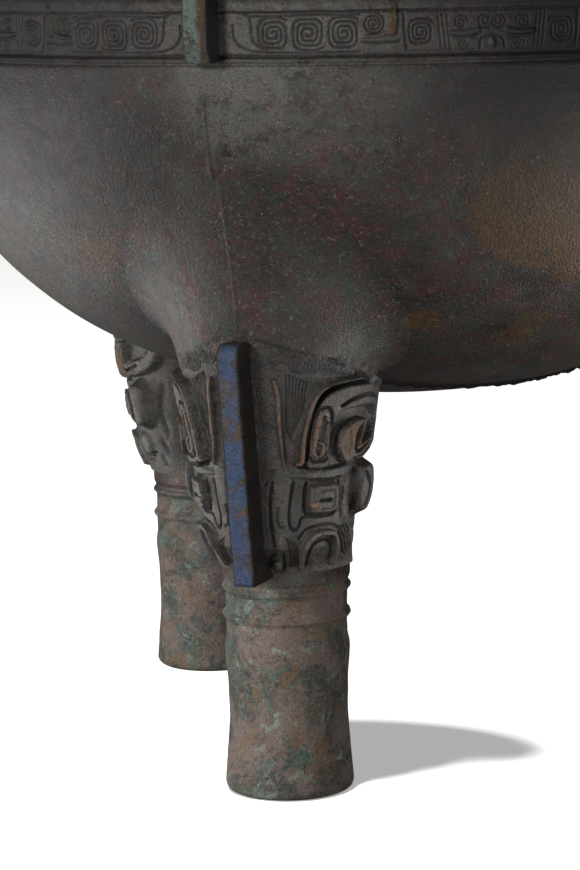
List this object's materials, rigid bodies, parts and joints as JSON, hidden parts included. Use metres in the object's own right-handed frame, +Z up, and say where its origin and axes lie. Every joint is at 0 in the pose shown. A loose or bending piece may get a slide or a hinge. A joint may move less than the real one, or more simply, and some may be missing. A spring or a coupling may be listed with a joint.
{
  "type": "bronze ding vessel",
  "caption": "Round cast bronze ding: open bowl on column legs with animal masks and flanges, an ornament band under the lip and upright loop handles.",
  "frame": {"origin": "centre of the underside: on the bowl's axis, at the level the feet stand on", "axes": "+Z up along the bowl's axis; the front leg points along -Y; the handles stand on the X axis"},
  "size_m": [0.4842, 0.474, 0.4476],
  "materials": {
    "patinated_bronze": "cast bronze with a matt grey-brown patina, green and blue copper minerals"
  },
  "bodies": {
    "root": {"ding_vessel": "patinated_bronze"}
  },
  "joints": []
}
